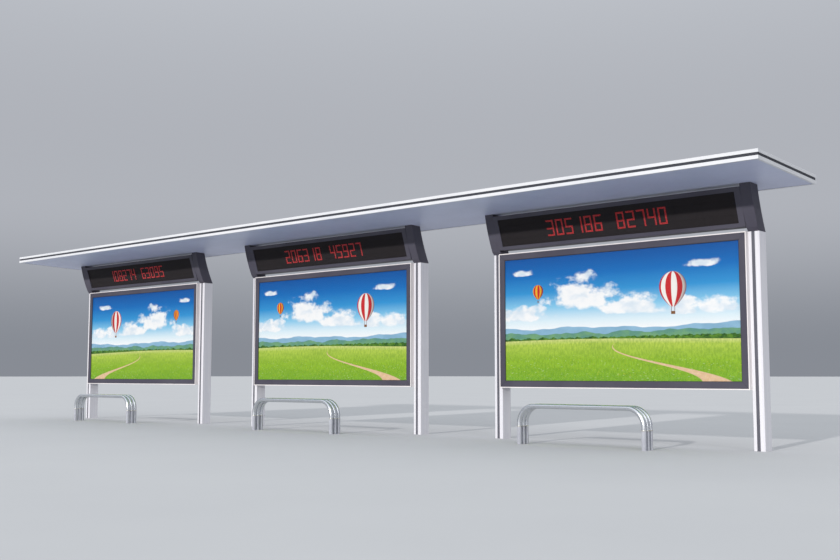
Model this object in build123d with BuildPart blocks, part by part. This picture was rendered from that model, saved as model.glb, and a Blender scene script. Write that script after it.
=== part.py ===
from build123d import *
from math import atan2, cos, degrees, radians, sin, tan
import os

# A roadside bus shelter of three equal bays under one long thin canopy.
# X runs along the shelter, -Y faces the road and Z is up, with the paving at Z = 0.
# The origin is on the paving under the middle of the canopy. All sizes are millimetres.

# Layout along the shelter
bay_count = 3
bay_pitch = 4620.0
bay_width = 3410.0

# Posts
post_width = 120.0
post_depth = 160.0
post_height = 2240.0
post_corner_radius = 3.0
post_groove_from_left = 34.0
post_groove_width = 36.0
post_groove_depth = 14.0
post_strip_thickness = 10.0

# Canopy
canopy_depth = 1400.0
canopy_thickness = 97.0
canopy_tilt = 2.0
canopy_rise = 510.0
front_overhang = 1105.0
end_overhang = 490.0
rail_width = 24.0
rail_groove_height = 29.0
rail_groove_from_top = 33.0
rail_groove_depth = 12.0
rail_strip_thickness = 5.0
rail_upstand = 8.0
soffit_thickness = 6.0
soffit_recess = 4.0

# Brackets between the post tops and the soffit
bracket_toe = 35.0
bracket_toe_height = 40.0
bracket_reach = 181.0
bracket_top_depth = 166.0
bracket_front_sag = 14.0
bracket_rear_bulge = 15.0

# Display cabinets between the brackets
display_bottom_gap = 48.0
display_top_gap = 33.0
display_depth = 130.0
display_bottom_proud = 20.0
display_top_proud = 5.0
display_top_band = 50.0
display_bottom_band = 40.0
display_end_band = 65.0
display_pocket_depth = 25.0
display_face_thickness = 15.0

# Light boxes between the posts
box_clearance_below = 616.0
box_depth = 200.0
box_proud = 60.0
box_rim = 10.0
door_setback = 2.0
door_depth = 30.0
door_band = 70.0
door_clearance = 2.0
door_bevel = 5.0
door_lip_depth = 8.0
door_lip_width = 20.0
glass_thickness = 6.0

# Benches
bench_length = 1615.0
bench_height = 450.0
bench_setback = 620.0
bench_tube_diameter = 52.0
bench_tube_spacing = 65.0
bench_bend_radius = 190.0
bench_tube_count = 3
bench_tube_sides = 14
bench_tie_inset = 320.0
bench_tie_width = 40.0
bench_tie_thickness = 12.0
bench_shifts = (-110.0, -35.0, -60.0)

# Places worked out from the sizes
tilt = radians(canopy_tilt)
canopy_length = (bay_count - 1) * bay_pitch + bay_width + 2 * end_overhang
canopy_front_y = -(canopy_depth * cos(tilt) + canopy_thickness * sin(tilt)) / 2
canopy_front_z = post_height + canopy_rise
post_front_y = canopy_front_y + front_overhang
post_middle_y = post_front_y + post_depth / 2
box_width = bay_width - 2 * post_width
box_height = post_height - box_clearance_below
box_middle_z = (box_clearance_below + post_height) / 2
box_front_y = post_front_y - box_proud
bay_centres = [(bay - (bay_count - 1) / 2) * bay_pitch for bay in range(bay_count)]
canopy_plane = Plane(
    origin=(0, canopy_front_y, canopy_front_z),
    x_dir=(1, 0, 0),
    z_dir=(0, sin(tilt), cos(tilt)),
)


def soffit_z(y):
    """Height of the underside of the soffit at a distance y across the shelter."""
    return canopy_front_z + soffit_recess / cos(tilt) - (y - canopy_front_y) * tan(tilt)


os.makedirs("parts", exist_ok=True)

# Canopy deck, laid between the edge rails and resting on the soffit
with BuildPart() as roof_deck:
    with BuildSketch(canopy_plane.offset(soffit_recess + soffit_thickness)):
        with Locations((0, canopy_depth / 2)):
            Rectangle(canopy_length - 2 * rail_width, canopy_depth - 2 * rail_width)
    extrude(amount=canopy_thickness - soffit_recess - soffit_thickness - rail_upstand)
roof_deck.part.label = "roof_deck"
export_step(roof_deck.part, "parts/roof_deck.step")

# Flat soffit sheet inside the rails
with BuildPart() as roof_soffit:
    with BuildSketch(canopy_plane.offset(soffit_recess)):
        with Locations((0, canopy_depth / 2)):
            Rectangle(canopy_length - 2 * rail_width, canopy_depth - 2 * rail_width)
    extrude(amount=soffit_thickness)
roof_soffit.part.label = "roof_soffit"
export_step(roof_soffit.part, "parts/roof_soffit.step")

# Edge rails, mitred at the corners, with one groove running round the outside
rail_sides = {
    "front": (canopy_length, (0, 0, 0), 0),
    "back": (canopy_length, (0, canopy_depth, 0), 180),
    "left": (canopy_depth, (-canopy_length / 2, canopy_depth / 2, 0), 270),
    "right": (canopy_depth, (canopy_length / 2, canopy_depth / 2, 0), 90),
}
rail_groove_middle = canopy_thickness - rail_groove_from_top - rail_groove_height / 2
for side, (rail_length, rail_place, rail_turn) in rail_sides.items():
    rail_plane = Plane(canopy_plane.location * Location(rail_place, (0, 0, rail_turn)))
    with BuildPart() as fascia:
        with BuildSketch(rail_plane):
            with BuildLine():
                Polyline(
                    (-rail_length / 2, 0),
                    (rail_length / 2, 0),
                    (rail_length / 2 - rail_width, rail_width),
                    (-rail_length / 2 + rail_width, rail_width),
                    close=True,
                )
            make_face()
        extrude(amount=canopy_thickness)
        with BuildSketch(rail_plane.offset(rail_groove_middle)):
            Rectangle(rail_length, 2 * rail_groove_depth)
        extrude(amount=rail_groove_height / 2, both=True, mode=Mode.SUBTRACT)
    fascia.part.label = f"fascia_{side}"
    export_step(fascia.part, f"parts/fascia_{side}.step")

# Dark strip lying in the rail groove, all round the canopy
strip_inset = rail_groove_depth - rail_strip_thickness
with BuildPart() as canopy_strip:
    with BuildSketch(canopy_plane.offset(rail_groove_middle)):
        with Locations((0, canopy_depth / 2)):
            Rectangle(canopy_length - 2 * strip_inset, canopy_depth - 2 * strip_inset)
            Rectangle(
                canopy_length - 2 * rail_groove_depth,
                canopy_depth - 2 * rail_groove_depth,
                mode=Mode.SUBTRACT,
            )
    extrude(amount=rail_groove_height / 2, both=True)
canopy_strip.part.label = "canopy_strip"
export_step(canopy_strip.part, "parts/canopy_strip.step")

# Posts and the curved brackets that carry the canopy on them
bracket_toe_y = post_front_y - bracket_toe
bracket_toe_z = post_height + bracket_toe_height
bracket_nose_y = post_front_y - bracket_reach
bracket_tail_y = bracket_nose_y + bracket_top_depth
post_rear_y = post_front_y + post_depth
groove_middle = post_groove_from_left + post_groove_width / 2 - post_width / 2
for bay, bay_x in enumerate(bay_centres, start=1):
    for side, turn in (("left", -1), ("right", 1)):
        post_x = bay_x + turn * (bay_width - post_width) / 2
        with BuildPart() as post:
            with BuildSketch() as post_section:
                with Locations((post_x, post_middle_y)):
                    Rectangle(post_width, post_depth)
                fillet(post_section.vertices(), post_corner_radius)
                with Locations((post_x + groove_middle, post_front_y)):
                    Rectangle(post_groove_width, 2 * post_groove_depth, mode=Mode.SUBTRACT)
            extrude(amount=post_height)
        post.part.label = f"bay{bay}_post_{side}"
        export_step(post.part, f"parts/bay{bay}_post_{side}.step")

        with BuildPart() as bracket:
            with BuildSketch(Plane.YZ.offset(post_x)):
                with BuildLine():
                    toe = (bracket_toe_y, bracket_toe_z)
                    nose = (bracket_nose_y, soffit_z(bracket_nose_y))
                    tail = (bracket_tail_y, soffit_z(bracket_tail_y))
                    heel = (post_rear_y, post_height)
                    Line((post_front_y, post_height), toe)
                    SagittaArc(toe, nose, bracket_front_sag)
                    Line(nose, tail)
                    SagittaArc(tail, heel, -bracket_rear_bulge)
                    Line(heel, (post_front_y, post_height))
                make_face()
            extrude(amount=post_width / 2, both=True)
        bracket.part.label = f"bay{bay}_bracket_{side}"
        export_step(bracket.part, f"parts/bay{bay}_bracket_{side}.step")

# Dark strips lying in the grooves of all the posts
with BuildPart() as post_strips:
    with BuildSketch():
        for bay_x in bay_centres:
            for turn in (-1, 1):
                strip_x = bay_x + turn * (bay_width - post_width) / 2 + groove_middle
                strip_y = post_front_y + post_groove_depth - post_strip_thickness / 2
                with Locations((strip_x, strip_y)):
                    Rectangle(post_groove_width, post_strip_thickness)
    extrude(amount=post_height)
post_strips.part.label = "post_strips"
export_step(post_strips.part, "parts/post_strips.step")

# Leaning display cabinets
display_bottom_z = post_height + display_bottom_gap
display_top_y = bracket_nose_y - display_top_proud
display_top_z = soffit_z(display_top_y) - display_top_gap
display_bottom_y = bracket_toe_y - display_bottom_proud
display_lean = atan2(display_bottom_y - display_top_y, display_top_z - display_bottom_z)
display_slant = (display_top_z - display_bottom_z) / cos(display_lean)
face_width = box_width - 2 * display_end_band
face_height = display_slant - display_top_band - display_bottom_band
face_shift = (display_bottom_band - display_top_band) / 2
for bay, bay_x in enumerate(bay_centres, start=1):
    face_plane = Plane(
        origin=(
            bay_x,
            (display_bottom_y + display_top_y) / 2,
            (display_bottom_z + display_top_z) / 2,
        ),
        x_dir=(1, 0, 0),
        z_dir=(0, -cos(display_lean), -sin(display_lean)),
    )
    with BuildPart() as display_case:
        with BuildSketch(Plane.YZ.offset(bay_x)):
            with BuildLine():
                Polyline(
                    (display_bottom_y, display_bottom_z),
                    (display_top_y, display_top_z),
                    (display_top_y + display_depth, display_top_z),
                    (display_bottom_y + display_depth, display_bottom_z),
                    close=True,
                )
            make_face()
        extrude(amount=box_width / 2, both=True)
        with BuildSketch(face_plane):
            with Locations((0, face_shift)):
                Rectangle(face_width, face_height)
        extrude(amount=-display_pocket_depth, mode=Mode.SUBTRACT)
    display_case.part.label = f"bay{bay}_display_case"
    export_step(display_case.part, f"parts/bay{bay}_display_case.step")

    with BuildPart() as display_face:
        with BuildSketch(face_plane.offset(-display_pocket_depth)):
            with Locations((0, face_shift)):
                Rectangle(face_width, face_height)
        extrude(amount=display_face_thickness)
    display_face.part.label = f"bay{bay}_display_face"
    export_step(display_face.part, f"parts/bay{bay}_display_face.step")

# Light boxes: case with a bright rim, door frame, glass and picture panel. Behind its front
# lip the door frame is rebated, and the glass and the picture panel lie in the rebate.
pocket_width = box_width - 2 * box_rim
pocket_height = box_height - 2 * box_rim
door_width = pocket_width - 2 * door_clearance
door_height = pocket_height - 2 * door_clearance
opening_width = door_width - 2 * door_band
opening_height = door_height - 2 * door_band
rebate_width = opening_width + 2 * door_lip_width
rebate_height = opening_height + 2 * door_lip_width
for bay, bay_x in enumerate(bay_centres, start=1):
    box_plane = Plane(
        origin=(bay_x, box_front_y, box_middle_z),
        x_dir=(1, 0, 0),
        z_dir=(0, -1, 0),
    )
    door_plane = box_plane.offset(-door_setback)
    with BuildPart() as box_case:
        with BuildSketch(box_plane):
            Rectangle(box_width, box_height)
        extrude(amount=-box_depth)
        with BuildSketch(box_plane):
            Rectangle(pocket_width, pocket_height)
        extrude(amount=-door_setback - door_depth, mode=Mode.SUBTRACT)
    box_case.part.label = f"bay{bay}_box_case"
    export_step(box_case.part, f"parts/bay{bay}_box_case.step")

    with BuildPart() as box_door:
        with BuildSketch(door_plane):
            Rectangle(door_width, door_height)
            Rectangle(opening_width, opening_height, mode=Mode.SUBTRACT)
        extrude(amount=-door_depth)
        with BuildSketch(door_plane.offset(-door_lip_depth)):
            Rectangle(rebate_width, rebate_height)
        extrude(amount=door_lip_depth - door_depth, mode=Mode.SUBTRACT)
        front_face = box_door.faces().sort_by(Axis.Y)[0]
        chamfer(front_face.inner_wires()[0].edges(), door_bevel)
    box_door.part.label = f"bay{bay}_box_door"
    export_step(box_door.part, f"parts/bay{bay}_box_door.step")

    with BuildPart() as box_glass:
        with BuildSketch(door_plane.offset(-door_lip_depth)):
            Rectangle(rebate_width, rebate_height)
        extrude(amount=-glass_thickness)
    box_glass.part.label = f"bay{bay}_box_glass"
    export_step(box_glass.part, f"parts/bay{bay}_box_glass.step")

    with BuildPart() as picture:
        with BuildSketch(door_plane.offset(-door_lip_depth - glass_thickness)):
            Rectangle(rebate_width, rebate_height)
        extrude(amount=door_lip_depth + glass_thickness - door_depth)
    picture.part.label = f"bay{bay}_picture"
    export_step(picture.part, f"parts/bay{bay}_picture.step")

# Benches of bent tube, each standing by itself in front of its light box, near the middle of
# the bay. Two ties, level with the tube axes, join the seat tubes. The tubes have flat sides
# that stay within a millimetre of the round.
bench_half = (bench_length - bench_tube_diameter) / 2
bench_axis_z = bench_height - bench_tube_diameter / 2
bench_y = post_front_y - bench_setback
bench_row_depth = (bench_tube_count - 1) * bench_tube_spacing
for bay, (bay_x, shift) in enumerate(zip(bay_centres, bench_shifts), start=1):
    bench_x = bay_x + shift
    with BuildPart() as bench:
        for row in range(bench_tube_count):
            tube_y = bench_y - bench_row_depth / 2 + row * bench_tube_spacing
            with BuildLine(Plane(origin=(bench_x, tube_y, 0), x_dir=(1, 0, 0), z_dir=(0, -1, 0))):
                FilletPolyline(
                    (-bench_half, 0),
                    (-bench_half, bench_axis_z),
                    (bench_half, bench_axis_z),
                    (bench_half, 0),
                    radius=bench_bend_radius,
                )
            with BuildSketch(Plane(origin=(bench_x - bench_half, tube_y, 0))):
                RegularPolygon(bench_tube_diameter / 2, bench_tube_sides)
            sweep()
        for end in (-1, 1):
            with Locations((bench_x + end * (bench_half - bench_tie_inset), bench_y, bench_axis_z)):
                Box(bench_tie_width, bench_row_depth, bench_tie_thickness)
    bench.part.label = f"bay{bay}_bench"
    export_step(bench.part, f"parts/bay{bay}_bench.step")

print(f"canopy {canopy_length:.0f} x {canopy_depth:.0f}, lean {degrees(display_lean):.1f} deg")
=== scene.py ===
# %% [markdown]
# # Dressing a roadside bus shelter
#
# The real shelter is a long thin canopy on six posts. Between each pair of posts
# hangs a light box with a printed picture, above it leans a number display, and in
# front of it stands a bench of bent tube. The metalwork arrives as exact solids, one
# for each piece, already in place. This lesson gives every piece its finish, and it
# models the small forms that are too fine for the solids: round polished tubes,
# lit beads, gaskets, seams and screws.

# %% Load the metalwork
from collections import namedtuple
from math import atan2, cos, degrees, pi, radians, sin, sqrt

import bmesh
import bpy
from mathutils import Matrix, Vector


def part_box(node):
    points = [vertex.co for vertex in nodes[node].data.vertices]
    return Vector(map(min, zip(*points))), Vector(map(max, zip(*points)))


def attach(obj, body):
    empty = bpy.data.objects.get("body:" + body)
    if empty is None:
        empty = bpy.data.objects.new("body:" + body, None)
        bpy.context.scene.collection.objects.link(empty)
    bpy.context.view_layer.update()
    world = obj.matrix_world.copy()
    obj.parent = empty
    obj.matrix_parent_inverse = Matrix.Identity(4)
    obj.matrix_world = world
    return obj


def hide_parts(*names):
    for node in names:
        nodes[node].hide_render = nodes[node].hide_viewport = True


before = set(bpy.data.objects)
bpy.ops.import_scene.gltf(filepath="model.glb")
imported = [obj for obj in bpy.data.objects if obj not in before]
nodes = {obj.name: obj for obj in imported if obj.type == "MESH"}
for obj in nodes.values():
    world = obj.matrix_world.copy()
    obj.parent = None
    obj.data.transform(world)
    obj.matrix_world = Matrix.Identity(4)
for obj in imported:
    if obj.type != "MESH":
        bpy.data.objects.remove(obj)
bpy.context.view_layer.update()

bays = ("bay1", "bay2", "bay3")

# %% [markdown]
# ## The camera
#
# A camera can be placed by eye or worked out. Here the corners of posts, boxes and
# canopy were matched to the photograph until the view agreed to about a pixel. The
# camera stands low, beyond the right-hand end, and looks back along the shelter with
# a slight upward tilt. In Blender a camera looks down its own -Z axis, so turning it
# 90 degrees about X makes it look level.

# %% Place the camera
camera_place = (10.790, -9.893, 0.765)
camera_turn = 41.463
camera_tilt = 5.178
camera_lens = 45.06
camera_film = 36.0
camera_sight = 2000.0


def place_in_scene(name, data):
    """Puts data, such as a lens or a mesh, into the scene as an object."""
    thing = bpy.data.objects.new(name, data)
    bpy.context.scene.collection.objects.link(thing)
    return thing


camera_data = bpy.data.cameras.new("street_camera")
camera_data.sensor_width = camera_film
camera_data.lens = camera_lens
camera_data.clip_end = camera_sight
camera = place_in_scene("street_camera", camera_data)
camera.location = camera_place
camera.rotation_euler = (radians(90.0 + camera_tilt), 0.0, radians(camera_turn))
bpy.context.scene.camera = camera
print(f"camera {camera.location.z:.2f} m above the floor, lens {camera_lens} mm")

# %% [markdown]
# ## Helpers for wiring materials
#
# Every finish below is a small network of nodes. Adding a node by hand takes three
# steps: make it, set its options, and connect its inputs. One helper does all three,
# so that a finish reads like a recipe. Another wraps the output of a node, so that
# plain arithmetic, such as `across - middle`, adds the Math nodes by itself.

# %% Define the wiring helpers
def start_finish(name):
    """A new material, its node tree and its main shader."""
    material = bpy.data.materials.new(name)
    material.use_nodes = True
    return material, material.node_tree, material.node_tree.nodes["Principled BSDF"]


def connect(tree, node, inputs):
    """Feeds each socket named with a plain value, an output or a Field."""
    for socket, value in inputs.items():
        value = getattr(value, "socket", value)
        if isinstance(value, bpy.types.NodeSocket):
            tree.links.new(value, node.inputs[socket])
        else:
            node.inputs[socket].default_value = value


def add(tree, kind, inputs=None, **options):
    """Adds one node, sets its options and connects its inputs."""
    node = tree.nodes.new("ShaderNode" + kind)
    for option, value in options.items():
        setattr(node, option, value)
    connect(tree, node, inputs or {})
    return node


# %% Define a number that changes from place to place
class Field:
    """A number that changes from place to place. Arithmetic on it adds Math nodes."""

    def __init__(self, tree, socket):
        self.tree = tree
        self.socket = socket

    def through(self, operation, *others):
        node = add(self.tree, "Math", dict(enumerate((self, *others))), operation=operation)
        return Field(self.tree, node.outputs[0])

    def __add__(self, other):
        return self.through("ADD", other)

    def __sub__(self, other):
        return self.through("SUBTRACT", other)

    def __mul__(self, other):
        return self.through("MULTIPLY", other)

    def __truediv__(self, other):
        return self.through("DIVIDE", other)

    def size(self):
        """How far the number is from zero."""
        return self.through("ABSOLUTE")

    def rise(self, start, end):
        """0 at start, 1 at end, and a smooth step between them."""
        inputs = {0: self, 1: start, 2: end}
        node = add(self.tree, "MapRange", inputs, interpolation_type="SMOOTHSTEP")
        return Field(self.tree, node.outputs[0])

    def within(self, reach, edge):
        """1 where the number is nearer to zero than reach, and 0 beyond, over a soft edge."""
        return (self.size() * -1.0 + reach).rise(0.0, edge)


# %% [markdown]
# A photo editor counts a colour from 0 to 255 on a curve that suits the eye, and
# Blender counts it as plain amounts of light. The first helper turns one into the
# other, so that tones can be chosen as they look. The others mix two colours, read
# one from a row of stops, and draw cloudy patterns from the place on the shelter.

# %% Define the colour helpers
def colour(red, green, blue):
    """A colour as a photo editor gives it, 0 to 255, turned into Blender's linear light."""
    parts = [part / 255 for part in (red, green, blue)]
    # the usual curve of a screen: a power of 2.4, but straight near black
    return (*(((p + 0.055) / 1.055) ** 2.4 if p > 0.04 else p / 12.92 for p in parts), 1.0)


def mix(tree, share, first, second):
    """A colour that runs from first to second as share runs from 0 to 1."""
    node = add(tree, "Mix", {0: share, 6: first, 7: second}, data_type="RGBA")
    return node.outputs[2]


def tint(tree, shader, share, first, second):
    """Mixes two tones into the base colour of a finish."""
    connect(tree, shader, {"Base Color": mix(tree, share, first, second)})


def ramp(tree, share, *stops):
    """A colour read from a row of (place, colour) stops."""
    node = add(tree, "ValToRGB", {0: share})
    elements = node.color_ramp.elements
    while len(elements) < len(stops):
        elements.new(0.5)
    for element, (place, tone) in zip(elements, stops):
        element.position = place
        element.color = tone
    return node.outputs[0]


print("a grey of 128 gives off", round(colour(128, 128, 128)[0], 3), "of full light")

# %% Define the pattern helpers
def position(tree):
    """The place on the shelter, in metres, as three Fields: along, across and up."""
    parts = add(tree, "SeparateXYZ", {0: add(tree, "TexCoord").outputs["Object"]})
    return [Field(tree, output) for output in parts.outputs]


def noise(tree, x, y, z=0.0, detail=4.0, roughness=0.5):
    """A cloudy pattern between 0 and 1. On a flat picture, z picks one pattern of many."""
    place = add(tree, "CombineXYZ", {0: x, 1: y, 2: z}).outputs[0]
    inputs = {"Vector": place, "Scale": 1.0, "Detail": detail, "Roughness": roughness}
    return Field(tree, add(tree, "TexNoise", inputs).outputs[0])


def grain(tree, place, scale, detail=4.0, squeeze=(1.0, 1.0, 1.0)):
    """Noise that is as fine in every direction, unless squeeze says otherwise."""
    x, y, z = (axis * (scale * share) for axis, share in zip(place, squeeze))
    return noise(tree, x, y, z, detail)


def bump(tree, shader, height, depth, strength=1.0):
    """Lets a Field of heights tilt the surface. depth is in metres."""
    node = add(tree, "Bump", {"Height": height, "Distance": depth, "Strength": strength})
    tree.links.new(node.outputs[0], shader.inputs["Normal"])


# %% [markdown]
# ## Floor and light
#
# The stage is a plain pale floor under an open pale sky. The sky is greyer near the
# horizon, so that the white posts and canopy stand out in front of it. The key light
# stands low in front of the shelter, as a softbox would. It reaches under the canopy,
# so the front edge of the canopy throws a shadow line across the middle of each
# display, as in the photograph. A wider lamp would blur that line, so this one is less
# than two degrees wide, and the open sky softens everything else. A sun lamp gives the
# same light to all three bays, which a lamp standing near one of them would not. The
# view transform is Standard, because it shows each tone as it was chosen.
#
# Polished steel looks like what it mirrors, so a studio puts a tall narrow light beside
# it, which draws a bright line down each bent tube. Here three weak and wide sun lamps,
# one above the other, make up that strip of light. It comes from the right, so it also
# lifts the right-hand sides of the posts.

# %% Build the floor
floor_reach = 600.0
floor_squares = 4
floor_matt = 0.9
stain_scale = 0.5

floor_mesh = bpy.data.meshes.new("studio_floor")
builder = bmesh.new()
bmesh.ops.create_grid(builder, x_segments=floor_squares, y_segments=floor_squares, size=floor_reach)
builder.to_mesh(floor_mesh)
builder.free()
floor = place_in_scene("studio_floor", floor_mesh)

pale_floor, tree, shader = start_finish("pale_floor")
x, y, z = position(tree)
stains = noise(tree, x * stain_scale, y * stain_scale)
tint(tree, shader, stains, colour(184, 184, 186), colour(191, 191, 192))
connect(tree, shader, {"Roughness": floor_matt})
floor_mesh.materials.append(pale_floor)
print(f"floor {2 * floor_reach:.0f} m square")

# %% Light the stage
sky_strength = 1.1
# from 0 at the horizon to 1 overhead
haze_band = (0.02, 0.16)
sky_band = (0.20, 0.85)

world = bpy.data.worlds.new("pale_sky")
bpy.context.scene.world = world
world.use_nodes = True
tree = world.node_tree
direction = add(tree, "TexCoord").outputs["Generated"]
upward = Field(tree, add(tree, "SeparateXYZ", {0: direction}).outputs[2])
haze = mix(tree, upward.rise(*haze_band), colour(130, 134, 142), colour(168, 171, 178))
sky = mix(tree, upward.rise(*sky_band), haze, colour(242, 249, 255))
connect(tree, tree.nodes["Background"], {"Color": sky, "Strength": sky_strength})
bpy.context.scene.view_settings.view_transform = "Standard"
print(f"sky strength {sky_strength}")

# %% Hang the lamps
key_strength = 2.9
key_height = 15.0
key_side = 8.0
key_softness = 1.8
key_tint = (1.0, 0.98, 0.95)
strip_strength = 0.12
strip_heights = (8.0, 24.0, 40.0)
strip_side = 58.0
strip_softness = 16.0


def hang_lamp(name, strength, height, side, softness):
    """A sun lamp. Its height above the floor, its side and its softness are in degrees."""
    lamp_data = bpy.data.lights.new(name, "SUN")
    lamp_data.energy = strength
    lamp_data.angle = radians(softness)
    lamp = place_in_scene(name, lamp_data)
    lamp.rotation_euler = (radians(90.0 - height), 0.0, radians(side))
    return lamp


key = hang_lamp("key_light", key_strength, key_height, key_side, key_softness)
key.data.color = key_tint
for number, strip_height in enumerate(strip_heights, start=1):
    hang_lamp(f"strip_light_{number}", strip_strength, strip_height, strip_side, strip_softness)
print(f"key light {key_height} degrees above the floor, strip of {len(strip_heights)} lamps")

# %% [markdown]
# ## Painted metal
#
# Most of the shelter is powder-coated: white canopy rails, silver posts and box
# cases, a grey soffit and charcoal brackets. A powder coat is never quite even. It
# has a fine ripple like orange peel and a slow change of tone, and an extruded bar
# shows faint lines along its length. One recipe serves them all: two tones mixed by a
# slow pattern, a sheen that wanders, and a bump from the finest pattern.

# %% Mix the powder coats
tone_scale = 1.7
tone_band = (0.35, 0.65)
sheen_scale = 25.0
peel_scale = 300.0
peel_depth = 0.0004
sheen_spread = 0.2


def powder_coat(name, tone, second_tone, rough, shine=0.5, ripple=0.3, squeeze=(1.0, 1.0, 1.0)):
    """A coated metal. squeeze lets the tones run with a bar."""
    material, tree, shader = start_finish(name)
    place = position(tree)
    slow = grain(tree, place, tone_scale, 5.0, squeeze)
    fine = grain(tree, place, sheen_scale, squeeze=squeeze)
    peel = grain(tree, place, peel_scale, 2.0)
    tint(tree, shader, slow.rise(*tone_band), tone, second_tone)
    sheen = fine * sheen_spread + (rough - sheen_spread / 2)
    connect(tree, shader, {"Roughness": sheen, "Specular IOR Level": shine})
    bump(tree, shader, peel, peel_depth, ripple)
    return material


upright = (40.0, 40.0, 0.3)
charcoal_tones = (colour(75, 73, 83), colour(68, 66, 77))
charcoal_sheen = dict(rough=0.5, shine=0.15, ripple=0.5)
white_coat = powder_coat("white_coat", colour(206, 206, 209), colour(199, 200, 204), 0.38)
silver_coat = powder_coat(
    "silver_coat", colour(213, 211, 215), colour(205, 204, 210), 0.36, squeeze=upright
)
case_coat = powder_coat("case_coat", colour(226, 220, 219), colour(217, 211, 211), 0.34)
soffit_coat = powder_coat("soffit_coat", colour(184, 189, 214), colour(178, 183, 208), 0.42)
charcoal_coat = powder_coat("charcoal_coat", *charcoal_tones, **charcoal_sheen)
deck_coat = powder_coat("deck_coat", colour(200, 203, 208), colour(184, 188, 195), 0.5)
print("six powder coats")

# %% [markdown]
# A strip of grey plastic lies in each post's groove, and a darker one runs round the
# canopy between the two lips of its edge rail. The canopy's strip is also painted
# shade: its dark tone stands in for the shade deep inside that groove. Such strips
# have fine ribs along their length and gather dust. Ribs this fine could be modelled,
# but from this distance a bump shows them as well. They run upright on the posts and
# level on the canopy.

# %% Mix the finishes of the groove strips
rib_pitch = 0.004
rib_depth = 0.0004
dust_scale = 9.0
strip_matt = 0.6


def ribbed_strip(name, tone, dusty_tone, level):
    """Ribbed plastic. Its ribs run level round the canopy, or upright on a post."""
    material, tree, shader = start_finish(name)
    x, y, z = position(tree)
    dust = grain(tree, (x, y, z), dust_scale, 6.0)
    tint(tree, shader, dust, tone, dusty_tone)
    ribs = ((z if level else x) * (2 * pi / rib_pitch)).through("SINE")
    bump(tree, shader, ribs, rib_depth)
    connect(tree, shader, {"Roughness": strip_matt})
    return material


strip_grey = ribbed_strip("strip_grey", colour(74, 74, 84), colour(91, 91, 101), level=False)
# painted shade: the canopy strip is dark to stand in for the shade inside its groove
strip_dark_painted_shade = ribbed_strip("strip_dark_painted_shade", colour(38, 40, 50), colour(50, 52, 62), level=True)
print(f"strips with a rib every {rib_pitch * 1000:.0f} mm")

# %% [markdown]
# The solids are exact, so their shape stays as it is. A solid gets its finish by a new
# list of materials.

# %% Lay the coats on their pieces
def finish_solid(name, material):
    """Gives a solid one material all over."""
    mesh = nodes[name].data
    mesh.materials.clear()
    mesh.materials.append(material)


for side in ("front", "back", "left", "right"):
    finish_solid(f"fascia_{side}", white_coat)
finish_solid("roof_deck", deck_coat)
finish_solid("roof_soffit", soffit_coat)
finish_solid("canopy_strip", strip_dark_painted_shade)
finish_solid("post_strips", strip_grey)
for bay in bays:
    for side in ("left", "right"):
        finish_solid(f"{bay}_post_{side}", silver_coat)
        finish_solid(f"{bay}_bracket_{side}", charcoal_coat)
    finish_solid(f"{bay}_box_case", case_coat)
    finish_solid(f"{bay}_display_case", charcoal_coat)
print("coats laid")

# %% [markdown]
# The door frame of a light box is four bars, cut at 45 degrees and welded at the
# corners, and the cuts stay visible as hairlines. A groove could be modelled, but a
# hairline needs only a darker tone. Along such a cut a point is as far from the door's
# side as from its top or bottom, so the finish compares these two distances and darkens
# the places where they agree.

# %% Mix the door finish with its corner joints
joint_reach = 0.0015
joint_softness = 0.0005
joint_tone = colour(30, 29, 34)


def mitred_coat(bay):
    """Charcoal paint with a hairline along each mitred corner of one door."""
    material = powder_coat(f"{bay}_door_coat", *charcoal_tones, **charcoal_sheen)
    tree = material.node_tree
    shader = tree.nodes["Principled BSDF"]
    x, y, z = position(tree)
    low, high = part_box(f"{bay}_box_door")
    from_side = (x - (low.x + high.x) / 2).size() * -1.0 + (high.x - low.x) / 2
    from_top = (z - (low.z + high.z) / 2).size() * -1.0 + (high.z - low.z) / 2
    joint = (from_side - from_top).within(joint_reach, joint_softness)
    paint = shader.inputs["Base Color"].links[0].from_socket
    tint(tree, shader, joint, paint, joint_tone)
    return material


for bay in bays:
    finish_solid(f"{bay}_box_door", mitred_coat(bay))
print(f"door joints {1000 * sqrt(2) * joint_reach:.1f} mm wide")

# %% [markdown]
# ## The printed picture
#
# Behind the glass of each light box hangs a large print: a deep blue sky over a
# bright green meadow. The picture here is our own landscape in the same fresh
# colours, with hills, a sandy lane and two balloons. It could be painted as an image,
# but a picture made of nodes stays sharp at any distance and needs no file. It is
# built like paper scenery: sky first, then each nearer layer laid over it through a
# mask. `across` and `up` are measured in metres from the lower middle of the print.

# %% Measure the print
door_band = 0.070
door_low, door_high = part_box("bay1_box_door")
print_width = door_high.x - door_low.x - 2 * door_band
print_height = door_high.z - door_low.z - 2 * door_band
print_bottom = door_low.z + door_band
print(f"print {print_width:.3f} m wide, {print_height:.3f} m high")

# %% Paint the sky
sky_stops = (
    # share of the print's height, colour
    (0.40, colour(255, 255, 255)),
    (0.48, colour(226, 244, 252)),
    (0.59, colour(140, 206, 240)),
    (0.71, colour(50, 152, 216)),
    (0.85, colour(8, 112, 192)),
    (1.00, colour(0, 84, 164)),
)


def paint_sky(tree, up):
    """From white haze at the horizon to deep blue at the top."""
    return ramp(tree, up / print_height, *sky_stops)


print(len(sky_stops), "tones of sky")

# %% [markdown]
# Summer clouds are flat below and heaped above. On a print they need no depth, so a
# bank of them is an oval with a flat foot. One pattern tears its edge, and another
# shades its folds.

# %% Paint the clouds
cloud_banks = (
    # across, up, half width, half height
    (-0.42, 0.93, 0.60, 0.32),
    (0.20, 0.82, 0.48, 0.20),
    (1.08, 1.24, 0.30, 0.08),
    (-1.22, 1.27, 0.24, 0.07),
    (1.02, 0.78, 0.66, 0.18),
    (-1.20, 0.76, 0.56, 0.17),
)
cloud_base = 0.4
cloud_fullness = 0.75
cloud_tear = 3.2
cloud_edge = 0.55
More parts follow.
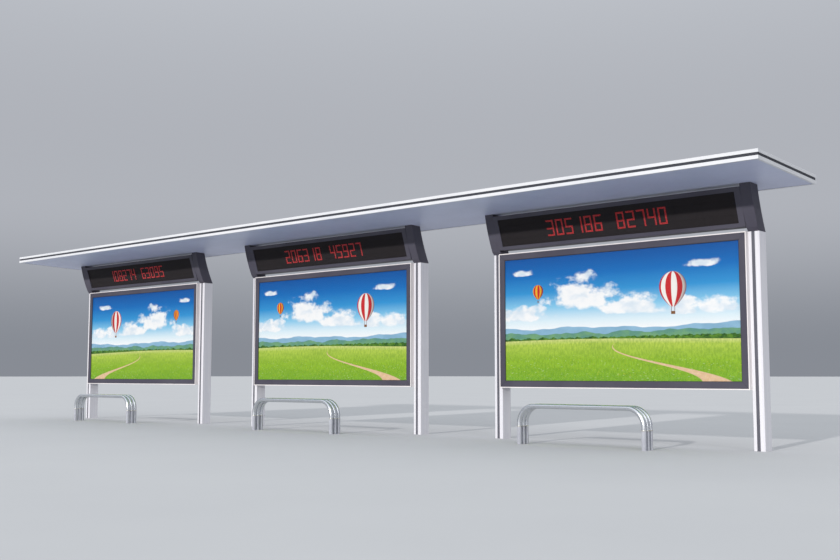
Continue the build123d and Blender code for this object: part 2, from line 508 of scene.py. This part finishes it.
# how fine across, how fine up, seed, detail, roughness
puff_pattern = (4.2, 6.0, 3.1, 9.0, 0.58)
fold_pattern = (5.0, 8.0, 7.7, 6.0, 0.5)
fold_lift = 0.04375
fold_band = (0.36, 0.62)


def flat_pattern(tree, across, up, fine_across, fine_up, seed, detail, roughness):
    """A cloudy pattern on a flat picture, from one row of numbers."""
    return noise(tree, across * fine_across, up * fine_up, seed, detail, roughness)


def paint_clouds(tree, under, across, up):
    """Ovals with a flat foot, their edges torn by noise."""
    nearest = None
    for bank_across, bank_up, half_width, half_height in cloud_banks:
        side = (across - bank_across) / half_width
        above = (up - bank_up) / half_height
        below = (up - bank_up) / (-cloud_base * half_height)
        rim = above.through("MAXIMUM", below)
        fullness = (side * side + rim * rim) * -1.0
        nearest = fullness if nearest is None else nearest.through("MAXIMUM", fullness)
    puffs = flat_pattern(tree, across, up, *puff_pattern)
    mask = (nearest + cloud_fullness + (puffs - 0.5) * cloud_tear).rise(0.0, cloud_edge)
    folds = flat_pattern(tree, across, up + fold_lift, *fold_pattern).rise(*fold_band)
    return mix(tree, mask, under, mix(tree, folds, colour(224, 236, 246), colour(255, 255, 255)))


print(len(cloud_banks), "cloud banks")

# %% [markdown]
# Hills turn paler and bluer with distance, and trees stand in front of them in a dark
# ragged row. One recipe paints all three: a wavy line is the ridge, and everything
# below it gets two tones. The table lists them from far to near.

# %% Paint the hills and the trees
ridges = (
    # hills per metre, seed, detail, roughness, swing, height, two tones, patches per metre
    (1.1, 4.0, 3.0, 0.50, 0.22, 0.500, colour(150, 192, 220), colour(136, 180, 208), 3.0),
    (1.7, 9.0, 3.0, 0.50, 0.20, 0.455, colour(96, 150, 132), colour(120, 170, 120), 6.0),
    (9.0, 2.0, 5.0, 0.62, 0.13, 0.435, colour(36, 84, 26), colour(96, 144, 40), 16.0),
)
ridge_edge = 0.004
patch_stretch = 1.6
patch_seed = 1.3
patch_band = (0.36, 0.64)


def paint_ridges(tree, picture, across, up):
    """Blue hills, green hills and a row of trees, each over what lies behind it."""
    for pitch, seed, detail, roughness, swing, height, first, second, patch_scale in ridges:
        line = noise(tree, across * pitch, seed, detail=detail, roughness=roughness) * swing + height
        patches = (across * patch_scale, up * (patch_scale * patch_stretch), patch_seed)
        shade = noise(tree, *patches, detail=6.0, roughness=0.6).rise(*patch_band)
        tones = mix(tree, shade, first, second)
        picture = mix(tree, (line - up).rise(0.0, ridge_edge), picture, tones)
    return picture


print(len(ridges), "ridges")

# %% [markdown]
# A meadow lies flat, and in a picture only perspective can say so. The grass pales
# towards the horizon, the lane narrows, and the flowers shrink. All three are drawn
# with `depth`, which is 0 at the horizon and 1 at the lower edge.

# %% Paint the meadow
meadow_stops = (
    # depth below the horizon, colour
    (0.00, colour(232, 234, 150)),
    (0.12, colour(190, 214, 84)),
    (0.50, colour(158, 198, 50)),
    (1.00, colour(132, 182, 42)),
)
meadow_height = 0.462
meadow_swing = 0.022
meadow_wave = 1.1
meadow_start = 2.2
meadow_edge = 0.006
blade_pattern = (46.0, 20.0, 5.0, 4.0, 0.6)
swathe_pattern = (2.0, 9.0, 6.0, 3.0, 0.5)
blade_band = (0.35, 0.65)
blade_share = 0.34
swathe_share = 0.12


def paint_meadow(tree, picture, across, up):
    """The meadow, and the depth at each point of it."""
    meadow_line = (across * meadow_wave + meadow_start).through("SINE") * meadow_swing + meadow_height
    depth = ((meadow_line - up) / meadow_line).through("MAXIMUM", 0.0)
    green = ramp(tree, depth, *meadow_stops)
    blades = flat_pattern(tree, across, up, *blade_pattern)
    swathes = flat_pattern(tree, across, up, *swathe_pattern)
    shade = blades.rise(*blade_band) * blade_share + swathes.rise(*blade_band) * swathe_share
    grass = mix(tree, shade, green, colour(78, 138, 22))
    return mix(tree, (meadow_line - up).rise(0.0, meadow_edge), picture, grass), depth


print(f"horizon {meadow_height:.2f} m above the lower edge")

# %% Paint the lane
lane_start = 0.25
lane_bends = 5.0
lane_turn = 0.4
lane_swing = -0.30
lane_drift = 0.75
lane_tip = 0.004
lane_widening = 0.17
lane_edge = 0.012
lane_fade = 0.04
rut_pattern = (26.0, 14.0, 2.0, 4.0, 0.5)


def paint_lane(tree, picture, across, depth):
    """A sandy lane that swings towards the viewer and widens as it comes."""
    bends = (depth * lane_bends + lane_turn).through("SINE")
    middle = bends * lane_swing + depth * depth * lane_drift + lane_start
    half_width = depth * depth * lane_widening + lane_tip
    inside = half_width - (across - middle).size()
    ruts = flat_pattern(tree, across, depth, *rut_pattern)
    sand = mix(tree, ruts, colour(214, 170, 128), colour(244, 214, 178))
    mask = inside.rise(0.0, lane_edge) * depth.rise(0.0, lane_fade)
    return mix(tree, mask, picture, sand)


print(f"lane {2 * (lane_widening + lane_tip):.2f} m wide at the lower edge")

# %% Paint the flowers
flower_columns = 16.0
flower_rows = 46.0
flower_distance = 0.25
flower_band = (0.25, 0.6)
bare_share = 0.62
white_share = 0.80
share_edge = 0.01
petal_reach = 0.20
petal_edge = 0.06


def paint_flowers(tree, picture, across, depth):
    """Small flowers that grow larger towards the lower edge."""
    reach = depth + flower_distance
    ground = add(tree, "CombineXYZ", {0: across / reach * flower_columns, 1: reach * reach * flower_rows})
    spots = add(tree, "TexVoronoi", {"Vector": ground.outputs[0], "Scale": 1.0})
    chosen = Field(tree, add(tree, "SeparateColor", {0: spots.outputs["Color"]}).outputs[0])
    petals = (Field(tree, spots.outputs["Distance"]) * -1.0 + petal_reach).rise(0.0, petal_edge)
    mask = petals * chosen.rise(bare_share, bare_share + share_edge) * depth.rise(*flower_band)
    yellow = chosen.rise(white_share, white_share + share_edge)
    return mix(tree, mask, picture, mix(tree, yellow, colour(250, 250, 240), colour(250, 214, 60)))


print(f"{1 - bare_share:.0%} of the spots carry a flower")

# %% [markdown]
# A balloon could be modelled and rendered, but on a print it is only an outline, round
# above and tapered below. Its stripes crowd together towards the sides, as on a real
# one, because the arcsine turns a distance from the middle into an angle.

# %% Paint the balloons
balloons = (
    # across, up, radius, two colours
    (0.74, 1.02, 0.165, colour(206, 38, 44), colour(250, 246, 240)),
    (-1.02, 1.06, 0.075, colour(244, 178, 44), colour(206, 38, 44)),
)
# shares of the radius, with heights counted down from the middle
envelope_foot = 1.32
envelope_taper = 0.48
rope_side = 0.12
rope_reach = 0.022
rope_middle = 1.45
rope_span = 0.16
basket_middle = 1.70
basket_reach = 0.16
basket_span = 0.11
cloth_edge = 0.04
foot_edge = 0.03
rope_edge = 0.01
basket_edge = 0.02
# the stripes and the light on the cloth
stripe_pitch = 7.0
stripe_start = 0.8
stripe_edge = 0.15
light_side = 0.5
light_band = (-0.6, 0.9)


def paint_cloth(tree, across, half_width, first, second):
    """The cloth of a balloon, striped, and darker towards one side."""
    bearing = (across / half_width).through("MAXIMUM", -1.0).through("MINIMUM", 1.0).through("ARCSINE")
    stripes = (bearing * stripe_pitch + stripe_start).through("SINE").rise(-stripe_edge, stripe_edge)
    light = (bearing + light_side).through("COSINE").rise(*light_band)
    return mix(tree, light, colour(96, 30, 40), mix(tree, stripes, first, second))


def paint_balloon(tree, picture, across, up, radius, first, second):
    """A striped balloon with its basket. across and up are measured from its middle."""
    side = across / radius
    above = up / radius
    top = above.through("MAXIMUM", 0.0)
    bottom = above.through("MINIMUM", 0.0)
    round_top = (top * top * -1.0 + 1.0).through("MAXIMUM", 0.0).through("SQRT")
    taper = bottom * bottom * -envelope_taper + 1.0
    half_width = round_top.through("MINIMUM", taper)
    inside = (half_width - side.size()).rise(0.0, cloth_edge)
    envelope = inside * (above + envelope_foot).rise(0.0, foot_edge)
    picture = mix(tree, envelope, picture, paint_cloth(tree, side, half_width, first, second))
    beside = (side.size() - rope_side).within(rope_reach, rope_edge)
    ropes = beside * (above + rope_middle).within(rope_span, basket_edge)
    picture = mix(tree, ropes, picture, colour(92, 66, 46))
    wicker = side.within(basket_reach, basket_edge)
    basket = wicker * (above + basket_middle).within(basket_span, basket_edge)
    return mix(tree, basket, picture, colour(132, 88, 52))


print(len(balloons), "balloons")

# %% [markdown]
# All three bays show the same picture, and in the left-hand bay it is mirrored. Ink
# behind glass looks deeper than colours on a screen, so they lose a third of their
# light.

# %% Print the three pictures
ink_loss = 0.31
paper_scale = 160.0
paper_spread = 0.2
paper_rough = 0.45
paper_shine = 0.15


def picture_film(bay, mirrored):
    """The whole landscape, laid on one bay's print and mirrored if asked."""
    material, tree, shader = start_finish(f"{bay}_landscape")
    x, y, z = position(tree)
    low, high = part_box(f"{bay}_box_case")
    across = (x - (low.x + high.x) / 2) * (-1.0 if mirrored else 1.0)
    up = z - print_bottom
    picture = paint_clouds(tree, paint_sky(tree, up), across, up)
    picture = paint_ridges(tree, picture, across, up)
    picture, depth = paint_meadow(tree, picture, across, up)
    picture = paint_lane(tree, picture, across, depth)
    picture = paint_flowers(tree, picture, across, depth)
    for place_across, place_up, radius, first, second in balloons:
        picture = paint_balloon(tree, picture, across - place_across, up - place_up, radius, first, second)
    tint(tree, shader, ink_loss, picture, colour(0, 0, 0))
    paper = noise(tree, x * paper_scale, z * paper_scale, detail=2.0)
    rough = paper * paper_spread + paper_rough
    connect(tree, shader, {"Roughness": rough, "Specular IOR Level": paper_shine})
    print(f"{bay}: {len(tree.nodes)} nodes")
    return material


for bay, mirrored in zip(bays, (True, False, False)):
    finish_solid(f"{bay}_picture", picture_film(bay, mirrored))

# %% [markdown]
# ## Glass
#
# A clear sheet lies over each print. Real glass could be made with transmission, but
# then the light that reaches the print has to find its way through two bending
# surfaces, which makes noise and dims the colours. Seen straight on, glass mirrors a
# few hundredths of the light and lets the rest pass. A mirror that is almost
# see-through comes close to that. It is kept a little weaker, so that the print stays
# deep.

# %% Mix the glass
mirror_share = 0.012
film_scale = 3.0
film_squeeze = (1.0, 1.0, 0.4)
film_spread = 0.06
glass_rough = 0.02

clear_sheet, tree, shader = start_finish("clear_sheet")
film = grain(tree, position(tree), film_scale, 5.0, film_squeeze)
rough = film * film_spread + glass_rough
connect(tree, shader, {"Roughness": rough, "Metallic": 1.0, "Alpha": mirror_share})
tint(tree, shader, film, colour(228, 238, 236), colour(240, 246, 246))
print(f"the glass mirrors {mirror_share:.1%} of the light")

# %% [markdown]
# ## The face of the number display
#
# The display is a black panel built from modules, each twice as wide as high, with
# rows of tiny beads. Most beads are dark and show only as a faint grid. As real domes
# they would be many thousands, so the material draws them from the place on the panel:
# the fraction of a pitch tells how far a point lies from the nearest bead. The panel
# leans, so its height is measured on the slope.

# %% Measure the panel
Flat = namedtuple("Flat", "middle up out width height")
to_right = Vector((1, 0, 0))
to_road = Vector((0, -1, 0))
face_tolerance = 0.0001


def flat_face(name, towards):
    """The outermost face on one side of a solid."""
    mesh = nodes[name].data
    corners = [vertex.co for vertex in mesh.vertices]
    out = max((face.normal for face in mesh.polygons), key=towards.dot).copy()
    reach = max(corner.dot(out) for corner in corners)
    rim = [corner for corner in corners if corner.dot(out) > reach - face_tolerance]
    low = Vector([min(corner[axis] for corner in rim) for axis in range(3)])
    high = Vector([max(corner[axis] for corner in rim) for axis in range(3)])
    up = out.cross(to_right).normalized()
    heights = [corner.dot(up) for corner in rim]
    return Flat((low + high) / 2, up, out, high.x - low.x, max(heights) - min(heights))


panel = flat_face("bay2_display_face", to_road)
print(f"panel leans {degrees(atan2(-panel.up.y, panel.up.z)):.1f} degrees")

# %% Mix the panel's finish
bead_pitch = 0.010
bead_reach = 0.12
bead_edge = 0.05
bead_depth = 0.0008
bead_relief = 0.5
module_width = 0.320
module_height = 0.160
upright_seam = (0.4955, 0.4975)
level_seam = (0.491, 0.495)
smudge_pattern = (2.2, 6.0, 1.0, 5.0, 0.5)
smudge_spread = 0.2
panel_rough = 0.3
panel_shine = 0.02

panel_black, tree, shader = start_finish("panel_black")
x, y, z = position(tree)
slope = (y - panel.middle.y) * panel.up.y + (z - panel.middle.z) * panel.up.z
bead_x = (x / bead_pitch).through("FRACT") - 0.5
bead_y = (slope / bead_pitch).through("FRACT") - 0.5
bead = (bead_x * bead_x + bead_y * bead_y) * -1.0 + bead_reach
beads = bead.rise(0.0, bead_edge)
seam_x = ((x / module_width).through("FRACT") - 0.5).size().rise(*upright_seam)
seam_y = ((slope / module_height + 0.5).through("FRACT") - 0.5).size().rise(*level_seam)
seams = seam_x.through("MAXIMUM", seam_y)
tone = mix(tree, beads, colour(29, 27, 29), colour(58, 54, 55))
tint(tree, shader, seams, tone, colour(8, 8, 9))
smudges = flat_pattern(tree, x, slope, *smudge_pattern)
rough = smudges * smudge_spread + panel_rough
connect(tree, shader, {"Roughness": rough, "Specular IOR Level": panel_shine})
bump(tree, shader, beads - seams, bead_depth, bead_relief)
for bay in bays:
    finish_solid(f"{bay}_display_face", panel_black)
print(f"a bead every {bead_pitch * 1000:.0f} mm, modules {module_width * 1000:.0f} mm wide")

# %% [markdown]
# ## Glazing the light boxes
#
# Four ways of making a shape cover all the small forms that are left. The first is
# the slab, a plate with rounded edges, which serves for panes, sheet covers and
# seams. Each helper adds its faces to one growing mesh, and the last one turns that
# mesh into a piece of the shelter.
#
# The pane is modelled again with ground edges and a little thinner than its solid, so
# that a film of air stays between the glass and the print. Two faces in exactly the
# same place would fight over which one is seen.

# %% Define the slab and the piece
to_sky = Vector((0, 0, 1))


def slab(builder, middle, size, rounding, up=to_sky, out=to_road, finish=0):
    """A plate with rounded edges. size is its length along X, its height and its thickness."""
    corners = bmesh.ops.create_cube(builder, size=1.0)["verts"]
    for corner in corners:
        along, above, ahead = corner.co
        corner.co = middle + to_right * (along * size[0]) + up * (above * size[1]) + out * (ahead * size[2])
    edges = list(dict.fromkeys(edge for corner in corners for edge in corner.link_edges))
    rounded = bmesh.ops.bevel(builder, geom=edges, offset=rounding, segments=2, profile=0.5, affect="EDGES")
    for corner in rounded["verts"]:
        for face in corner.link_faces:
            face.material_index = finish


def finish_piece(name, builder, finishes, replaced=()):
    """Turns the growing mesh into a piece. A face's finish is its number in finishes."""
    bmesh.ops.recalc_face_normals(builder, faces=builder.faces)
    mesh = bpy.data.meshes.new(name)
    builder.to_mesh(mesh)
    builder.free()
    for finish in finishes:
        mesh.materials.append(finish)
    piece = place_in_scene(name, mesh)
    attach(piece, "root")
    if replaced:
        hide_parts(*replaced)


# %% Set the panes
pane_thickness = 0.005
pane_edge = 0.0006
pane_play = 0.002
front_gap = 0.0002
glass_fronts = {}

for bay in bays:
    low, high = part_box(f"{bay}_box_glass")
    pane_middle = (low + high) / 2
    glass_fronts[bay] = Vector((pane_middle.x, low.y, pane_middle.z))
    pane_middle.y = low.y + front_gap + pane_thickness / 2
    pane_size = (high.x - low.x - pane_play, high.z - low.z - pane_play, pane_thickness)
    builder = bmesh.new()
    slab(builder, pane_middle, pane_size, pane_edge)
    finish_piece(f"{bay}_pane", builder, [clear_sheet], [f"{bay}_box_glass"])
print(f"panes {pane_thickness * 1000:.0f} mm thick")

# %% [markdown]
# A black rubber gasket closes the gap between door and glass. On the real box it is
# one strip, pressed in all round. Its section is a small wedge, so the second way of
# making a shape runs a section round a rectangle, with mitred corners.

# %% Press in the gaskets
gasket_section = ((-0.001, 0.0002), (-0.001, 0.0030), (0.003, 0.0026), (0.004, 0.0002))
chalk_scale = 40.0
chalk_band = (0.4, 0.8)
rubber_matt = 0.7


def bridge(builder, first, second, smooth=True, finish=0):
    """Joins two rings of points with a band of faces. The second may be a single point."""
    for i in range(len(first)):
        j = (i + 1) % len(first)
        corners = (first[i], first[j], second[j % len(second)], second[i % len(second)])
        face = builder.faces.new(list(dict.fromkeys(corners)))
        face.smooth = smooth
        face.material_index = finish


def run_round(builder, middle, half_width, half_height, section):
    """Runs a closed section of (inward, outward) points round an upright rectangle."""
    rings = []
    for inward, outward in section:
        ring = []
        for side, above in ((-1, -1), (1, -1), (1, 1), (-1, 1)):
            place = middle + to_right * (side * (half_width - inward))
            place = place + to_sky * (above * (half_height - inward)) + to_road * outward
            ring.append(builder.verts.new(place))
        rings.append(ring)
    for first, second in zip(rings, rings[1:] + rings[:1]):
        bridge(builder, first, second, smooth=False)


gasket_rubber, tree, shader = start_finish("gasket_rubber")
chalk = grain(tree, position(tree), chalk_scale, 5.0).rise(*chalk_band)
tint(tree, shader, chalk, colour(26, 26, 28), colour(52, 51, 54))
connect(tree, shader, {"Roughness": rubber_matt})

for bay in bays:
    builder = bmesh.new()
    run_round(builder, glass_fronts[bay], print_width / 2, print_height / 2, gasket_section)
    finish_piece(f"{bay}_gasket", builder, [gasket_rubber])
print(f"each gasket {2 * (print_width + print_height):.1f} m long")

# %% [markdown]
# ## Covers at the back
#
# From behind, a light box is a row of plain sheet covers, screwed on at their edges so
# that the lamps can be reached. The display cabinets are closed in the same way. A flat
# strip of rubber closes the joint between two covers. The photograph does not show this
# side, so the covers are kept plain, but they are real slabs, whose edges catch the
# light. A screw head is round, so the third way of making a shape turns a profile
# round an axis, as on a lathe.

# %% Turn a profile on the lathe
screw_head = (
    # radius, height
    (0.0070, 0.0),
    (0.0070, 0.0012),
    (0.0055, 0.0028),
    (0.0030, 0.0034),
    (0.0028, 0.0016),
    (0.0, 0.0016),
)
screw_sides = 12
tarnish_scale = 80.0
tarnish_spread = 0.2
zinc_rough = 0.3


def close_end(builder, ring, finish=0):
    """A flat end with a sharp rim, so that the shading does not bend round it."""
    face = builder.faces.new(ring)
    face.material_index = finish
    for edge in face.edges:
        edge.smooth = False


def turn(builder, centre, axis, profile, sides, finish=0):
    """Turns (radius, height) points round an axis. A last radius of 0 makes a tip."""
    axis = axis.normalized()
    right = axis.orthogonal().normalized()
    ahead = axis.cross(right)
    rings = []
    for radius, height in profile:
        middle = centre + axis * height
        angles = [2 * pi * i / sides for i in range(sides if radius else 1)]
        spokes = [right * cos(angle) + ahead * sin(angle) for angle in angles]
        rings.append([builder.verts.new(middle + spoke * radius) for spoke in spokes])
    for lower, upper in zip(rings, rings[1:]):
        bridge(builder, lower, upper, finish=finish)
    close_end(builder, rings[0], finish)
    if len(rings[-1]) > 1:
        close_end(builder, rings[-1], finish)


screw_zinc, tree, shader = start_finish("screw_zinc")
tarnish = grain(tree, position(tree), tarnish_scale)
tint(tree, shader, tarnish, colour(170, 171, 174), colour(206, 207, 210))
rough = tarnish * tarnish_spread + zinc_rough
connect(tree, shader, {"Roughness": rough, "Metallic": 1.0})
print(f"screw heads {2000 * screw_head[0][0]:.0f} mm across")

# %% Fit the rear covers
to_back = Vector((0, 1, 0))
cover_count = 3
cover_gap = 0.012
cover_margin = 0.030
cover_thickness = 0.003
cover_edge = 0.001
joint_thickness = 0.0015
joint_edge = 0.0003
screw_inset = 0.020
screw_finish = 1
rubber_finish = 2
cases = (
    # case, coat of its covers, slot, rows of screws
    ("box", case_coat, "silver_case", 4),
    ("display", charcoal_coat, "charcoal_paint", 2),
)


def rear_covers(builder, back, screw_rows):
    """A row of screwed covers on the flat back of a case."""
    pitch = (back.width - 2 * cover_margin + cover_gap) / cover_count
    cover_size = (pitch - cover_gap, back.height - 2 * cover_margin, cover_thickness)
    for number in range(cover_count):
        along = (number - (cover_count - 1) / 2) * pitch
        centre = back.middle + to_right * along + back.out * (cover_thickness / 2)
        slab(builder, centre, cover_size, cover_edge, back.up, back.out)
        if number:
            joint = back.middle + to_right * (along - pitch / 2) + back.out * (joint_thickness / 2)
            joint_size = (cover_gap, cover_size[1], joint_thickness)
            slab(builder, joint, joint_size, joint_edge, back.up, back.out, rubber_finish)
        for column in (-1, 0, 1):
            for row in range(screw_rows):
                if column == 0 and 0 < row < screw_rows - 1:
                    continue
                side = column * (cover_size[0] / 2 - screw_inset)
                above = (row / (screw_rows - 1) - 0.5) * (cover_size[1] - 2 * screw_inset)
                place = centre + to_right * side + back.up * above + back.out * (cover_thickness / 2)
                turn(builder, place, back.out, screw_head, screw_sides, screw_finish)


for bay in bays:
    for case, coat, slot, screw_rows in cases:
        builder = bmesh.new()
        rear_covers(builder, flat_face(f"{bay}_{case}_case", to_back), screw_rows)
        finish_piece(f"{bay}_{case}_covers", builder, [coat, screw_zinc, gasket_rubber])
print(cover_count, "covers on each back")

# %% [markdown]
# ## Seams on the deck
#
# The top of the canopy is covered with sheets that lie side by side, and low folded
# seams run over the joints from the front to the back. The folds could be bent from
# the sheet itself, but they never show from the street, so a slab for each will do.
# The deck is tilted by two degrees, and its own top face gives the direction in which
# the seams run.

# %% Fold the deck seams
sheet_count = 20
seam_width = 0.014
seam_height = 0.005
seam_rounding = 0.0015
seam_end_gap = 0.005

deck = flat_face("roof_deck", to_sky)
seam_size = (seam_width, deck.height - 2 * seam_end_gap, seam_height)
builder = bmesh.new()
for number in range(1, sheet_count):
    along = deck.width * (number / sheet_count - 0.5)
    middle = deck.middle + to_right * along + deck.out * (seam_height / 2)
    slab(builder, middle, seam_size, seam_rounding, deck.up, deck.out)
finish_piece("deck_seams", builder, [deck_coat])
print(sheet_count - 1, "seams")

# %% [markdown]
# ## Lit numbers
#
# The numbers are made up, and they are drawn by the lit beads, so each of these is a
# real little dome that glows red. A digit is seven bars, as on any clock, and a bar is a
# small block of beads. Letters would have needed a drawn alphabet, but digits need
# only a list of which bar is lit in which digits.

# %% Mix the glow of a lit bead
bead_glow = 0.11
bead_gloss = 0.3
flicker_scale = 60.0

bead_red, tree, shader = start_finish("bead_red")
x, y, z = position(tree)
flicker = noise(tree, x * flicker_scale, z * flicker_scale, detail=2.0)
tint(tree, shader, flicker, colour(196, 34, 38), colour(216, 50, 50))
connect(tree, shader, {"Emission Color": colour(214, 34, 40), "Emission Strength": bead_glow})
connect(tree, shader, {"Roughness": bead_gloss})
print(f"beads glow at {bead_glow}")

# %% List the bars of each digit
last_column = 9
last_row = 18
centre_row = last_row // 2
bar_beads = 2
left_bar = (0, bar_beads - 1)
right_bar = (last_column - bar_beads + 1, last_column)
level_bar = (0, last_column)
bars = {
    # the digits that light it, its first and last column, its first and last row
    "top": ("02356789", level_bar, (last_row - bar_beads + 1, last_row)),
    "centre": ("2345689", level_bar, (centre_row - bar_beads + 1, centre_row)),
    "bottom": ("0235689", level_bar, (0, bar_beads - 1)),
    "upper left": ("045689", left_bar, (centre_row, last_row)),
    "upper right": ("01234789", right_bar, (centre_row, last_row)),
    "lower left": ("0268", left_bar, (0, centre_row)),
    "lower right": ("013456789", right_bar, (0, centre_row)),
}


def beads_of(digit):
    """The (column, row) places that a digit lights, in order."""
    places = set()
    for digits, columns, rows in bars.values():
        if digit in digits:
            for column in range(columns[0], columns[1] + 1):
                places.update((column, row) for row in range(rows[0], rows[1] + 1))
    return sorted(places)


print("an eight has", len(beads_of("8")), "beads")

# %% Build the number pieces
bead_dome = ((0.0042, 0.0), (0.0034, 0.0016), (0.0, 0.0026))
bead_sides = 6
digit_step = 13
# where the two groups start, from the middle of the panel
group_starts = (-0.835, 0.106)
messages = {"bay1": ("108274", "63095"), "bay2": ("206318", "45927"), "bay3": ("305186", "82740")}

for bay in bays:
    face = flat_face(f"{bay}_display_face", to_road)
    builder = bmesh.new()
    count = 0
    for start, digits in zip(group_starts, messages[bay]):
        for number, digit in enumerate(digits):
            for column, row in beads_of(digit):
                along = start + (number * digit_step + column) * bead_pitch
                above = (row - centre_row) * bead_pitch
                place = face.middle + to_right * along + face.up * above
                turn(builder, place, face.out, bead_dome, bead_sides)
                count += 1
    finish_piece(f"{bay}_display_numbers", builder, [bead_red])
    print(f"{bay}: {count} lit beads")

# %% [markdown]
# ## Benches of bent tube
#
# Each bench is three stainless tubes, bent down at both ends into legs. The solids
# carry them with flat sides, which is enough to sit on but not to shine: a polished
# round tube shows long streaks of light that a flat would break up. So the tubes are
# modelled again. A curve with a bevel would do it, but here the last way of making a
# shape pushes a circle along a path, so that each part of a bench can take its own
# finish. The bends are bright, the legs below the weld are plainer, and the weld
# itself is a thin straw-coloured ring.

# %% Mix the polished steel
line_scale = 420.0
line_stretch = 3.0
line_depth = 0.0001
line_relief = 0.3
line_spread = 0.05
haze_scale = 12.0


def drawn_steel(name, tone, rough, spread):
    """Bare steel with faint lines along the tube."""
    material, tree, shader = start_finish(name)
    x, y, z = position(tree)
    lines = noise(tree, x * line_stretch, y * line_scale, z * line_stretch, detail=3.0)
    haze = grain(tree, (x, y, z), haze_scale)
    tint(tree, shader, haze, tone, colour(216, 218, 222))
    sheen = haze * spread + lines * line_spread + rough
    connect(tree, shader, {"Roughness": sheen, "Metallic": 1.0})
    bump(tree, shader, lines, line_depth, line_relief)
    return material


polished_steel = drawn_steel("polished_steel", colour(226, 228, 232), 0.15, 0.12)
satin_steel = drawn_steel("satin_steel", colour(190, 190, 198), 0.88, 0.06)
weld_straw = drawn_steel("weld_straw", colour(200, 188, 160), 0.45, 0.10)
print("polished, satin and welded steel")

# %% Push a circle along a path
tube_sides = 24


def push_circle(builder, path, radius, finish=0):
    """A round bar along a path of points that lies in one upright plane."""
    rings = []
    angles = [2 * pi * k / tube_sides for k in range(tube_sides)]
    for i, point in enumerate(path):
        ahead = (path[min(i + 1, len(path) - 1)] - path[max(i - 1, 0)]).normalized()
        outward = to_back.cross(ahead)
        ring = [point + (to_back * cos(angle) + outward * sin(angle)) * radius for angle in angles]
        rings.append([builder.verts.new(place) for place in ring])
    for lower, upper in zip(rings, rings[1:]):
        bridge(builder, lower, upper, finish=finish)
    close_end(builder, rings[0], finish)
    close_end(builder, rings[-1], finish)


print(tube_sides, "sides round a tube")

# %% Draw the line of a tube
tube_radius = 0.026
bend_radius = 0.190
bend_steps = 28
weld_height = 0.200


def bench_path(middle_x, row_y, half_length, seat_height):
    """The line of one tube between its two welds: up, over, along and down again."""
    corner_z = seat_height - bend_radius
    right_end = []
    for step in range(bend_steps + 1):
        angle = pi / 2 * step / bend_steps
        reach = half_length - bend_radius + bend_radius * sin(angle)
        right_end.append(Vector((reach, 0, corner_z + bend_radius * cos(angle))))
    right_end.append(Vector((half_length, 0, weld_height)))
    left_end = [Vector((-point.x, 0, point.z)) for point in reversed(right_end)]
    shift = Vector((middle_x, row_y, 0))
    return [point + shift for point in left_end + right_end]


print(f"welds {weld_height * 1000:.0f} mm above the floor")

# %% [markdown]
# The photograph does not show what joins the three tubes of a seat. Two short ties do
# it here, set in from the ends and thinner than the tubes.

# %% Weld the benches together
tube_spacing = 0.065
leg_radius = 0.0254
weld_ring = ((0.0261, -0.004), (0.0270, -0.002), (0.0273, 0.0), (0.0270, 0.002), (0.0261, 0.004))
leg_finish = 1
weld_finish = 2
tie_inset = 0.320
tie_width = 0.040
tie_thickness = 0.012
tie_rounding = 0.003

for bay in bays:
    low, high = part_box(f"{bay}_bench")
    middle_x = (low.x + high.x) / 2
    middle_y = (low.y + high.y) / 2
    tube_z = high.z - tube_radius
    half_length = (high.x - low.x) / 2 - tube_radius
    builder = bmesh.new()
    for row in (-1, 0, 1):
        row_y = middle_y + row * tube_spacing
        push_circle(builder, bench_path(middle_x, row_y, half_length, tube_z), tube_radius)
        for side in (-1, 1):
            foot = Vector((middle_x + side * half_length, row_y, 0))
            weld = foot + to_sky * weld_height
            push_circle(builder, [foot, weld], leg_radius, leg_finish)
            turn(builder, weld, to_sky, weld_ring, tube_sides, weld_finish)
    for side in (-1, 1):
        tie_middle = Vector((middle_x + side * (half_length - tie_inset), middle_y, tube_z))
        tie_size = (tie_width, tie_thickness, 2 * tube_spacing)
        slab(builder, tie_middle, tie_size, tie_rounding, finish=leg_finish)
    finishes = [polished_steel, satin_steel, weld_straw]
    finish_piece(f"{bay}_bench_tubes", builder, finishes, [f"{bay}_bench"])
print("three benches of three tubes")
